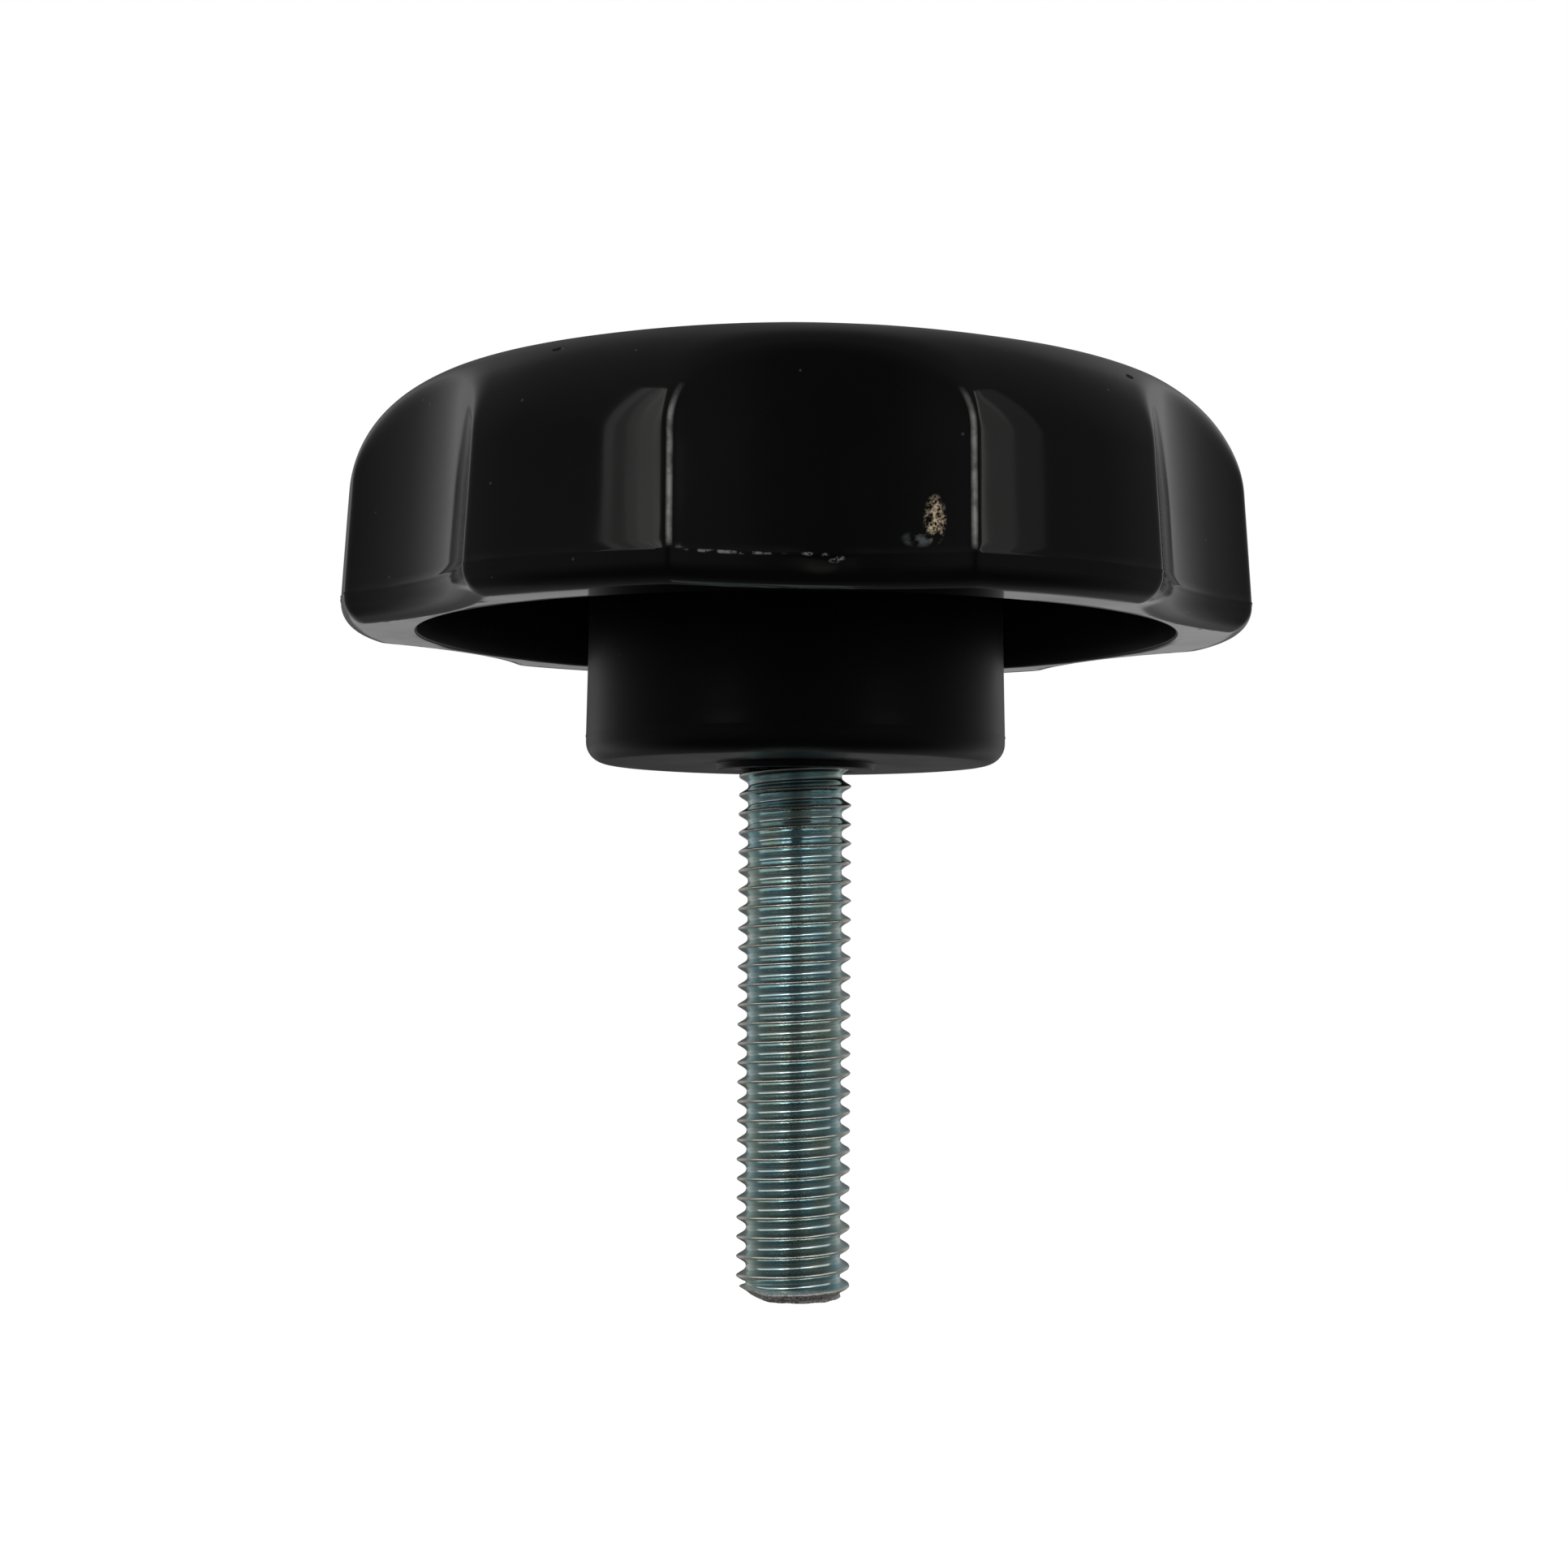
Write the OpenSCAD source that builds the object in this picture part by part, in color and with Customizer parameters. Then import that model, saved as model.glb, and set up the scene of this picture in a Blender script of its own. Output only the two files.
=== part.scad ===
// Six-lobed hand knob with a moulded-in threaded stud.
// The origin is on the stud's axis where its thread begins. The dome is up and the stud points down.

/* [Head] */
// Diameter over the lobes at the mould's parting line
head_d = 75.2; // [68:0.1:85]
// Height of the crown above the hub's foot
head_h = 34.4; // [32:0.1:40]
// Radius of the domed crown
crown_r = 113; // [80:1:200]
// Rounding between the crown and the side wall
shoulder_r = 9.4; // [6:0.1:11]
// Draft of the lobes' outer faces in degrees
lobe_draft = 3.6; // [2:0.1:7]
// Height of the rim above the hub's foot
rim_h = 10.6; // [8:0.1:14]
// Rounding of the rim's lower edge
rim_round = 2; // [1:0.1:2.5]
// Straight band between the rim's rounding and the parting line
band_h = 0.3; // [0.1:0.1:3]

/* [Scallops] */
// Number of finger scallops
scallop_count = 6; // [5:1:7]
// Width of a scallop between its two edges at the parting line
scallop_w = 21.6; // [16:0.1:24]
// Depth of a scallop below the lobes' circle
scallop_depth = 3.6; // [2.6:0.1:4]
// Draft of the scallops in degrees
scallop_draft = 3.5; // [1:0.5:5]

/* [Underside] */
// Thickness of the rim's wall at the bottom of a scallop
rim_wall = 2.6; // [2.6:0.1:6]
// Draft of the hollow's outer wall in degrees
hollow_draft = 1.5; // [0.5:0.5:4]
// Thickness of the dome over the hollow
dome_wall = 6.5; // [4:0.5:12]
// Rounding between the hollow's wall and its roof
hollow_round = 4.5; // [2:0.5:6]

/* [Hub] */
// Diameter of the hub at its foot
hub_d = 34.9; // [26:0.1:40]
// Narrowing of the hub towards the dome in degrees
hub_draft = 1; // [0.5:0.5:3]
// Rounding of the hub's foot
hub_round = 1.7; // [0.5:0.1:3]
// Width of the raised pad round the stud
pad_w = 1.9; // [1:0.1:4]
// Height of the raised pad
pad_h = 0.5; // [0.2:0.1:1]

/* [Stud] */
// Outside diameter of the stud's thread
stud_d = 9.4; // [6:0.1:11]
// Length of the thread
stud_len = 43.2; // [20:0.1:80]
// Chamfer at the stud's free end
stud_chamfer = 0.8; // [0.3:0.1:1.5]
// Length of the neck that shows between the pad and the thread
neck_show = 0.5; // [0.2:0.1:2]
// Length of the neck inside the hub
neck_len = 11; // [5:0.5:13]
// How far the neck is set back from the thread's outside
neck_step = 0.45; // [0.2:0.05:0.8]
// Width across the flats of the anchoring hexagon head
anchor_af = 14.3; // [12:0.1:17]
// Thickness of the anchoring head
anchor_h = 6; // [3:0.1:8]
// Gap between the stud and the moulding round it
insert_gap = 0.02; // [0.01:0.01:0.1]

/* [Hidden] */
$fn = 96;

head_r = head_d / 2;
floor_r = head_r - scallop_depth;
opening_r = floor_r - rim_wall;
hub_r = hub_d / 2;
stud_r = stud_d / 2;
neck_r = stud_r - neck_step;
foot_z = neck_show + pad_h;
rim_z = foot_z + rim_h;
parting_z = rim_z + rim_round + band_h;
crown_centre_z = foot_z + head_h - crown_r;
anchor_corner_d = anchor_af / cos(30);
// How far a cutter runs past the face it cuts
overcut = 1;
// How far a scallop's rounding runs past the rim's face
blend = 0.25;

// A scallop is an arc through its two edges on the lobes' circle and its deepest point
edge_angle = asin(scallop_w / head_d);
scallop_sag = head_r * cos(edge_angle) - floor_r;
scallop_r = (pow(scallop_w / 2, 2) + pow(scallop_sag, 2)) / (2 * scallop_sag);
scallop_axis_r = floor_r + scallop_r;

// Centre of the arc of radius round_r that joins a drafted wall to a dome, in a section through the axis.
// The wall measures wall_r at the parting line, and the dome lies at a distance lift above the crown.
function corner_centre(wall_r, draft, round_r, lift) =
    let (
        reach = wall_r - round_r / cos(draft) + parting_z * tan(draft),
        span = crown_r + lift - round_r,
        a = 1 + pow(tan(draft), 2),
        b = -2 * (reach * tan(draft) + crown_centre_z),
        c = pow(reach, 2) + pow(crown_centre_z, 2) - pow(span, 2),
        z = (-b + sqrt(b * b - 4 * a * c)) / (2 * a)
    )
    [reach - z * tan(draft), z];

// Where that arc meets the wall
function corner_foot(centre, draft, round_r) = centre + round_r * [cos(draft), sin(draft)];

// Where that arc meets the dome
function corner_top(centre, round_r) =
    let (away = centre - [0, crown_centre_z])
    centre + away * round_r / norm(away);

// Upper half of a disc, which rounds the corner between a wall and a dome
module corner_disc(centre, round_r) {
    translate(centre)
        intersection() {
            circle(r = round_r);
            translate([-round_r, 0])
                square([2 * round_r, round_r]);
        }
}

// Section of the lobes: the rim's rounding, the drafted wall, the shoulder and the crown
module lobe_section() {
    centre = corner_centre(head_r, lobe_draft, shoulder_r, 0);
    top = corner_top(centre, shoulder_r);
    round_centre = [head_r - rim_round, rim_z + rim_round];
    polygon([
        [0, rim_z],
        [round_centre.x, rim_z],
        round_centre,
        [head_r, round_centre.y],
        [head_r, parting_z],
        corner_foot(centre, lobe_draft, shoulder_r),
        centre,
        top,
        [0, top.y],
    ]);
    translate(round_centre)
        circle(r = rim_round);
    corner_disc(centre, shoulder_r);
    dome_section(crown_r, top);
}

// Section of a dome about the crown's centre, from the point top upwards
module dome_section(dome_r, top) {
    intersection() {
        translate([0, crown_centre_z])
            circle(r = dome_r);
        translate([0, top.y])
            square([top.x, crown_centre_z + dome_r - top.y + overcut]);
    }
}

// Cutter for one scallop, a drafted turning about the scallop's own axis. It flares along the rim's rounding.
// It leaves the dome through the shoulder, where its edge is an arch.
module scallop_cutter() {
    bottom = rim_z - overcut;
    top = crown_centre_z + crown_r + overcut;
    round_z = rim_z - blend + rim_round;
    rotate_extrude() {
        polygon([
            [0, bottom],
            [scallop_r, bottom],
            [scallop_r, parting_z],
            [scallop_r + (top - parting_z) * tan(scallop_draft), top],
            [0, top],
        ]);
        difference() {
            translate([scallop_r, bottom])
                square([rim_round, round_z - bottom]);
            translate([scallop_r + rim_round, round_z])
                circle(r = rim_round);
        }
    }
}

// The moulded outside: a domed turning with a scallop cut between each two lobes
module lobed_dome() {
    difference() {
        rotate_extrude()
            lobe_section();
        for (i = [0 : scallop_count - 1]) {
            bearing = i * 360 / scallop_count - 90;
            translate(scallop_axis_r * [cos(bearing), sin(bearing), 0])
                scallop_cutter();
        }
    }
}

// Section of the hollow under the dome, whose roof follows the crown
module hollow_section() {
    centre = corner_centre(opening_r, hollow_draft, hollow_round, -dome_wall);
    top = corner_top(centre, hollow_round);
    mouth_z = rim_z - overcut;
    polygon([
        [0, mouth_z],
        [opening_r + (parting_z - mouth_z) * tan(hollow_draft), mouth_z],
        corner_foot(centre, hollow_draft, hollow_round),
        centre,
        top,
        [0, top.y],
    ]);
    corner_disc(centre, hollow_round);
    dome_section(crown_r - dome_wall, top);
}

// Section of the hub, from its rounded foot up into the dome's wall
module hub_section() {
    round_r = hub_r - hub_round;
    round_z = foot_z + hub_round;
    hub_top = foot_z + head_h - dome_wall / 2;
    polygon([
        [0, foot_z],
        [round_r, foot_z],
        [round_r, round_z],
        [hub_r, round_z],
        [hub_r - (hub_top - round_z) * tan(hub_draft), hub_top],
        [0, hub_top],
    ]);
    intersection() {
        translate([round_r, round_z])
            circle(r = hub_round);
        translate([0, foot_z])
            square([hub_r, hub_round]);
    }
}

// The end of the stud that the moulding grips, grown by a gap: a plain neck and a hexagon head
module anchor(gap) {
    anchor_z = foot_z + neck_len;
    translate([0, 0, -overcut])
        cylinder(r = neck_r + gap, h = overcut + anchor_z + anchor_h / 2);
    translate([0, 0, anchor_z - gap])
        cylinder(d = anchor_corner_d + 2 * gap / cos(30), h = anchor_h + 2 * gap, $fn = 6);
}

module knob_head() {
    color("#141414")
        difference() {
            union() {
                difference() {
                    lobed_dome();
                    rotate_extrude()
                        hollow_section();
                }
                rotate_extrude()
                    hub_section();
                translate([0, 0, neck_show])
                    cylinder(r = stud_r + pad_w, h = pad_h + overcut);
            }
            anchor(insert_gap);
            // The pad clears the thread, and the hole above it grips the neck
            cylinder(r = stud_r + insert_gap, h = foot_z);
        }
}

module threaded_stud() {
    straight_len = stud_len - stud_chamfer;
    color("#9fb0b4") {
        translate([0, 0, -straight_len])
            cylinder(r = stud_r, h = straight_len);
        translate([0, 0, -stud_len])
            cylinder(r1 = stud_r - stud_chamfer, r2 = stud_r, h = stud_chamfer);
        anchor(0);
    }
}

knob_head();
threaded_stud();
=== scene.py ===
# %% [markdown]
# # A lobed hand knob with a threaded stud
# The real knob is two pieces: a glossy black plastic head with six finger scallops, and a zinc-plated steel stud that
# the plastic was moulded round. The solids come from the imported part. Both pieces get a finer mesh here, because a
# polished black surface shows every facet, and because the thread is too fine for the solids.

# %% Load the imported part
from math import asin, atan2, cos, degrees, pi, radians, sin, sqrt, tan

import bpy
from mathutils import Matrix, Vector


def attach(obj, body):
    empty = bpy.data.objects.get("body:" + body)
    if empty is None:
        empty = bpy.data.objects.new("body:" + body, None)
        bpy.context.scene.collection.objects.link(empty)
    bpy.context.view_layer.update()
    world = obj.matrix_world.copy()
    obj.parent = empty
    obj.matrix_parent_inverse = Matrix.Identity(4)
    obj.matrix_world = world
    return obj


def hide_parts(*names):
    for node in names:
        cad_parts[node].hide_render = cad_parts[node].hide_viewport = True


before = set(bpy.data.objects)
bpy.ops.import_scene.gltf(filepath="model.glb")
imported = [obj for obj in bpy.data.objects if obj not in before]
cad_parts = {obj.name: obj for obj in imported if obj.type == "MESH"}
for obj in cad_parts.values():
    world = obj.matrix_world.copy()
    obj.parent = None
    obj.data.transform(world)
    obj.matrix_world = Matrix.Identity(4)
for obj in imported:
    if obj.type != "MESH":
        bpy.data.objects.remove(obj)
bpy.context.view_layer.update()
MM = 0.001
print("pieces:", sorted(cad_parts))


# %% [markdown]
# ## Two helpers
# The shapes and finishes below are all made of nodes, so one small function adds a node, sets it up and links it.
# Colours are written as the sRGB hex values that a colour picker shows, and Blender wants them linear.

# %% Helpers
def add(tree, kind, inputs=(), **settings):
    """Add a node with its settings. A node or socket among the inputs is linked, and any other value is set."""
    node = tree.nodes.new(kind)
    for name, value in settings.items():
        setattr(node, name, value)
    for key, value in inputs.items() if isinstance(inputs, dict) else enumerate(inputs):
        if isinstance(value, bpy.types.Node):
            value = value.outputs[0]
        if isinstance(value, bpy.types.NodeSocket):
            tree.links.new(value, node.inputs[key])
        else:
            node.inputs[key].default_value = value
    return node


def linear(hex_code):
    """Linear colour of an sRGB hex value such as #1a2b3c."""
    channels = [int(hex_code[i:i + 2], 16) / 255 for i in (1, 3, 5)]
    return (*(c / 12.92 if c <= 0.04045 else ((c + 0.055) / 1.055) ** 2.4 for c in channels), 1.0)


MATHS = "ShaderNodeMath"
VECTORS = "ShaderNodeVectorMath"
NOISE = "ShaderNodeTexNoise"
RANGE = "ShaderNodeMapRange"
SPLIT = "ShaderNodeSeparateXYZ"
JOIN = "ShaderNodeCombineXYZ"
MIX = "ShaderNodeMix"

# %% [markdown]
# ## Camera
# The photograph was taken from a hand's length away and from a little below the hub, with the lens tilted up a few
# degrees. The knob is turned so that its front scallop faces just right of the lens.

# %% Camera
FRAME_PX = 1932
FOCAL_PX = 3252
AXIS_PX = 979.75
HORIZON_PX = 1137
SENSOR_MM = 36
CAMERA_DISTANCE = 220 * MM
CAMERA_HEIGHT = -12.2 * MM
CAMERA_BEARING = radians(-92.9)
CAMERA_ROLL = radians(0.3)

camera_data = bpy.data.cameras.new("camera")
camera_data.sensor_width = SENSOR_MM
camera_data.lens = SENSOR_MM * FOCAL_PX / FRAME_PX
camera_data.clip_start = 10 * MM
camera = bpy.data.objects.new("camera", camera_data)
bpy.context.scene.collection.objects.link(camera)
yaw = CAMERA_BEARING + pi / 2 + atan2(AXIS_PX - FRAME_PX / 2, FOCAL_PX)
tilt = atan2(HORIZON_PX - FRAME_PX / 2, FOCAL_PX)
place = Vector((cos(CAMERA_BEARING), sin(CAMERA_BEARING), CAMERA_HEIGHT / CAMERA_DISTANCE)) * CAMERA_DISTANCE
turned = Matrix.Rotation(yaw, 4, "Z") @ Matrix.Rotation(pi / 2 + tilt, 4, "X") @ Matrix.Rotation(CAMERA_ROLL, 4, "Z")
camera.matrix_world = Matrix.Translation(place) @ turned
bpy.context.scene.camera = camera
print("camera:", [round(v / MM, 1) for v in place], "mm, tilted up", round(degrees(tilt), 2), "degrees")

# %% [markdown]
# ## The head's section
# The head is a turned dome into which six scallops were cut, so it starts from one section through the middle of a
# lobe: a chain of lines and arcs from the top of the crown, over the shoulder, down the wall, round the rim, through
# the hollow, down the hub and into the seat of the stud. All sizes are the part's own, in millimetres.

# %% Sizes of the head
HEAD_R = 75.2 / 2
CROWN_R = 113
SHOULDER_R = 9.4
LOBE_DRAFT = radians(3.6)
PAD_Z = 0.5
FOOT_Z = PAD_Z + 0.5
CROWN_CENTRE_Z = FOOT_Z + 34.4 - CROWN_R
RIM_Z = FOOT_Z + 10.6
RIM_ROUND = 2
PARTING_Z = RIM_Z + RIM_ROUND + 0.3
SCALLOP_COUNT = 6
SCALLOP_W = 21.6
SCALLOP_DRAFT = radians(3.5)
FLOOR_R = HEAD_R - 3.6
OPENING_R = FLOOR_R - 2.6
HOLLOW_DRAFT = radians(1.5)
HOLLOW_ROUND = 4.5
DOME_WALL = 6.5
HUB_R = 34.9 / 2
HUB_DRAFT = radians(1)
HUB_ROUND = 1.7
STUD_R = 9.4 / 2
NECK_R = STUD_R - 0.45
PAD_R = STUD_R + 1.9
INSERT_GAP = 0.02
ANCHOR_Z = FOOT_Z + 11
ANCHOR_H = 6
ANCHOR_APOTHEM = 14.3 / 2


# %% Lines and arcs
def arc(centre, radius, start, end, steps):
    """Points along an arc, from just after the start angle to the end angle."""
    turns = [start + (end - start) * (i + 1) / steps for i in range(steps)]
    return [(centre[0] + radius * cos(t), centre[1] + radius * sin(t)) for t in turns]


def line(start, end, steps):
    """Points along a line, from just after the start to the end."""
    shares = [(i + 1) / steps for i in range(steps)]
    return [(start[0] + (end[0] - start[0]) * s, start[1] + (end[1] - start[1]) * s) for s in shares]


def corner_centre(wall_r, draft, round_r, lift):
    """Centre of the arc that joins a drafted wall to a dome that lies at a distance lift above the crown."""
    reach = wall_r - round_r / cos(draft) + PARTING_Z * tan(draft)
    span = CROWN_R + lift - round_r
    a = 1 + tan(draft) ** 2
    b = -2 * (reach * tan(draft) + CROWN_CENTRE_Z)
    c = reach ** 2 + CROWN_CENTRE_Z ** 2 - span ** 2
    z = (-b + sqrt(b * b - 4 * a * c)) / (2 * a)
    return reach - z * tan(draft), z


# %% [markdown]
# Each row of the section also carries three traits: how far from the axis a scallop's floor lies at that height, how
# much of the mould's flash stands there, and whether the row belongs to a hexagon.

# %% Outside and inside of the section
UNCUT = 1000
FLASH_HALF = 0.14
LIP = 0.2
EDGE = 0.15
HUB_LINE_Z = FOOT_Z + 2.2
HUB_LINE = 0.04


def outside_rows():
    """Rows from the crown's top down to the rim's face, as (radius, height, scallop floor, flash, hexagon)."""
    corner = corner_centre(HEAD_R, LOBE_DRAFT, SHOULDER_R, 0)
    crown_end = atan2(corner[1] - CROWN_CENTRE_Z, corner[0])
    upper = [(0, CROWN_CENTRE_Z + CROWN_R)]
    upper += arc((0, CROWN_CENTRE_Z), CROWN_R, pi / 2, crown_end, 22)
    upper += arc(corner, SHOULDER_R, crown_end, LOBE_DRAFT, 46)
    upper += line(upper[-1], (HEAD_R - FLASH_HALF * tan(LOBE_DRAFT), PARTING_Z + FLASH_HALF), 14)
    rows = [(r, z, FLOOR_R - (z - PARTING_Z) * tan(SCALLOP_DRAFT), 0, 0) for r, z in upper]
    rows += [(HEAD_R, PARTING_Z, FLOOR_R, 1, 0), (HEAD_R, PARTING_Z - FLASH_HALF, FLOOR_R, 0, 0)]
    rim_centre = (HEAD_R - RIM_ROUND, RIM_Z + RIM_ROUND)
    lower = [(HEAD_R, rim_centre[1]), *arc(rim_centre, RIM_ROUND, 0, -pi / 2, 16)]
    rows += [(r, z, FLOOR_R - HEAD_R + r, 0, 0) for r, z in lower]
    mouth_r = OPENING_R + (PARTING_Z - RIM_Z) * tan(HOLLOW_DRAFT)
    return rows + [(r, z, FLOOR_R - RIM_ROUND, 0, 0) for r, z in line(rows[-1], (mouth_r + LIP, RIM_Z), 5)]


def inside_points(start):
    """Points from the rim's lip through the hollow and down the hub to the stud's hole."""
    points = arc((start[0], RIM_Z + LIP), LIP, -pi / 2, -pi, 5)
    hollow = corner_centre(OPENING_R, HOLLOW_DRAFT, HOLLOW_ROUND, -DOME_WALL)
    roof_start = atan2(hollow[1] - CROWN_CENTRE_Z, hollow[0])
    wall_end = (hollow[0] + HOLLOW_ROUND * cos(HOLLOW_DRAFT), hollow[1] + HOLLOW_ROUND * sin(HOLLOW_DRAFT))
    points += line(points[-1], wall_end, 8) + arc(hollow, HOLLOW_ROUND, HOLLOW_DRAFT, roof_start, 12)
    roof_r = CROWN_R - DOME_WALL
    hub_round_z = FOOT_Z + HUB_ROUND
    hub_top_r = HUB_R - (CROWN_CENTRE_Z + roof_r - hub_round_z) * tan(HUB_DRAFT)
    roof_end = atan2(sqrt(roof_r ** 2 - hub_top_r ** 2), hub_top_r)
    points += arc((0, CROWN_CENTRE_Z), roof_r, roof_start, roof_end, 8)
    points += line(points[-1], (HUB_R, HUB_LINE_Z + EDGE), 20)
    points += [(HUB_R + HUB_LINE, HUB_LINE_Z), (HUB_R, HUB_LINE_Z - EDGE), (HUB_R, hub_round_z)]
    points += arc((HUB_R - HUB_ROUND, hub_round_z), HUB_ROUND, 0, -pi / 2, 12)
    points += line(points[-1], (PAD_R + EDGE, FOOT_Z), 6)
    points += arc((PAD_R + EDGE, FOOT_Z - EDGE), EDGE, pi / 2, pi, 4)
    points += arc((PAD_R - EDGE, PAD_Z + EDGE), EDGE, 0, -pi / 2, 4)
    return points + line(points[-1], (STUD_R + INSERT_GAP, PAD_Z), 3)


def head_section():
    """All rows of the head, closed on the axis at both ends."""
    rows = outside_rows()
    inside = inside_points(rows[-1])
    recess_top, hole_r, hole_top = (STUD_R + INSERT_GAP, FOOT_Z), NECK_R + INSERT_GAP, ANCHOR_Z - INSERT_GAP
    hole = [*line(inside[-1], recess_top, 2), (hole_r, FOOT_Z), *line((hole_r, FOOT_Z), (hole_r, hole_top), 3)]
    rows += [(r, z, UNCUT, 0, 0) for r, z in inside + hole]
    cavity_r, cavity_top = ANCHOR_APOTHEM + INSERT_GAP, ANCHOR_Z + ANCHOR_H + INSERT_GAP
    rows += [(cavity_r, hole_top, UNCUT, 0, 1), (cavity_r, cavity_top, UNCUT, 0, 1), (0, cavity_top, UNCUT, 0, 0)]
    return rows


# %% Sections as objects
def section_object(name, rows):
    """A chain of vertices at the rows' points, which carries the rows' traits as one attribute."""
    mesh = bpy.data.meshes.new(name)
    chain = [(i, i + 1) for i in range(len(rows) - 1)]
    mesh.from_pydata([(row[0] * MM, 0, row[1] * MM) for row in rows], chain, [])
    traits = mesh.attributes.new("traits", "FLOAT_VECTOR", "POINT")
    traits.data.foreach_set("vector", [value for row in rows for value in row[2:5]])
    piece = bpy.data.objects.new(name, mesh)
    bpy.context.scene.collection.objects.link(piece)
    print(name, "rows", len(rows))
    return piece


head_chain = section_object("head_section", head_section())


# %% [markdown]
# ## The lobed head as a Geometry Nodes rule
# Carving scallops with booleans would leave hard edges and untidy faces on a mirror-like surface. A rule is better: a
# flat grid is rolled up so that one side runs round the knob and the other along the section. At each point the
# scallop's arc is compared with the turned radius, and the smaller one wins. A soft minimum rounds the edge between
# them, as the polished mould does.

# %% A tree with named inputs
def new_tree(name, sockets):
    """A Geometry Nodes tree with named inputs, each given as a name and a kind."""
    tree = bpy.data.node_groups.new(name, "GeometryNodeTree")
    tree.interface.new_socket("Geometry", in_out="OUTPUT", socket_type="NodeSocketGeometry")
    for label, kind in sockets.items():
        tree.interface.new_socket(label, in_out="INPUT", socket_type="NodeSocket" + kind)
    return tree


knob = new_tree("lobed_head", {
    "Section": "Object", "Rows": "Int", "Steps round": "Int", "Scallops": "Int", "Edge angle": "Float",
    "Edge crowding": "Float", "Edge rounding": "Float", "Arch rounding": "Float", "Arch from": "Float",
    "Arch to": "Float", "Scallop axis radius": "Float", "Flash height": "Float", "Waviness": "Float",
    "Wave length": "Float", "Edge wear": "Float", "Chip depth": "Float", "Material": "Material"})
given = add(knob, "NodeGroupInput").outputs


# %% Grid and section rows
def rolled_grid(tree, given):
    """A flat grid, with the turn and the row of each point as shares from 0 to 1."""
    columns = add(tree, MATHS, [given["Steps round"], 1.0], operation="ADD")
    grid = add(tree, "GeometryNodeMeshGrid", [1.0, 1.0, columns, given["Rows"]])
    flat = add(tree, SPLIT, [add(tree, "GeometryNodeInputPosition")])
    turn = add(tree, MATHS, [flat.outputs["X"], 0.5], operation="ADD")
    return grid, turn, add(tree, MATHS, [flat.outputs["Y"], 0.5], operation="ADD")


def section_at(tree, given, row):
    """The section's place and traits at a row, each split in three."""
    chain = add(tree, "GeometryNodeObjectInfo", {"Object": given["Section"]}).outputs["Geometry"]
    last = add(tree, MATHS, [given["Rows"], 1.0], operation="SUBTRACT")
    index = add(tree, MATHS, [add(tree, MATHS, [row, last], operation="MULTIPLY")], operation="ROUND")
    values = [add(tree, "GeometryNodeInputPosition"),
              add(tree, "GeometryNodeInputNamedAttribute", ["traits"], data_type="FLOAT_VECTOR")]
    samples = [add(tree, "GeometryNodeSampleIndex", data_type="FLOAT_VECTOR") for _ in values]
    for sample, value in zip(samples, values):
        for source, target in ((chain, "Geometry"), (value.outputs[0], "Value"), (index.outputs[0], "Index")):
            tree.links.new(source, sample.inputs[target])
    return [add(tree, SPLIT, [sample]).outputs for sample in samples]


grid, turn, row = rolled_grid(knob, given)
spot, traits = section_at(knob, given, row)

# %% [markdown]
# One scallop with half a lobe on each side is a sector. The grid's columns crowd together at the two edges of the
# scallop, where the surface turns quickly, and spread out elsewhere.

# %% Bearing of each column
sector = add(knob, MATHS, [turn, given["Scallops"]], operation="MULTIPLY")
nearest = add(knob, MATHS, [add(knob, MATHS, [sector, 0.5], operation="ADD")], operation="FLOOR")
phase = add(knob, MATHS, [sector, nearest], operation="SUBTRACT")
swing = add(knob, MATHS, [add(knob, MATHS, [phase, 4 * pi], operation="MULTIPLY")], operation="SINE")
crowding = add(knob, MATHS, [given["Edge crowding"], 4 * pi], operation="DIVIDE")
crowded = add(knob, MATHS, [swing, crowding, phase], operation="MULTIPLY_ADD")
quarter = add(knob, MATHS, [add(knob, MATHS, [crowded], operation="ABSOLUTE"), 4.0], operation="MULTIPLY")
half_sector = add(knob, MATHS, [pi, given["Scallops"]], operation="DIVIDE")
half_lobe = add(knob, MATHS, [half_sector, given["Edge angle"]], operation="SUBTRACT")
in_scallop = add(knob, RANGE, [quarter, 0.0, 1.0, 0.0, given["Edge angle"]])
in_lobe = add(knob, RANGE, [quarter, 1.0, 2.0, 0.0, half_lobe])
aside = add(knob, MATHS, [in_scallop, in_lobe], operation="ADD")
swerve = add(knob, MATHS, [aside, add(knob, MATHS, [crowded], operation="SIGN")], operation="MULTIPLY")
whole_sector = add(knob, MATHS, [half_sector, 2.0], operation="MULTIPLY")
bearing = add(knob, MATHS, [nearest, whole_sector, swerve], operation="MULTIPLY_ADD")
bearing = add(knob, MATHS, [bearing, pi / 2], operation="SUBTRACT")

# %% Scallop against lobe
floor_r = add(knob, MATHS, [traits[0], MM], operation="MULTIPLY")
scallop_r = add(knob, MATHS, [given["Scallop axis radius"], floor_r], operation="SUBTRACT")
cosine = add(knob, MATHS, [swerve], operation="COSINE")
sine = add(knob, MATHS, [swerve], operation="SINE")
along = add(knob, MATHS, [given["Scallop axis radius"], cosine], operation="MULTIPLY")
across = add(knob, MATHS, [given["Scallop axis radius"], sine], operation="MULTIPLY")
chord = add(knob, MATHS, [add(knob, MATHS, [scallop_r, 2.0], operation="POWER"),
                          add(knob, MATHS, [across, 2.0], operation="POWER")], operation="SUBTRACT")
chord = add(knob, MATHS, [add(knob, MATHS, [chord, 0.0], operation="MAXIMUM")], operation="SQRT")
scallop_at = add(knob, MATHS, [along, chord], operation="SUBTRACT")
uncut = add(knob, MATHS, [traits[0], UNCUT / 2], operation="GREATER_THAN")
scallop_at = add(knob, MATHS, [uncut, 2.0, scallop_at], operation="MULTIPLY_ADD")
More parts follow.
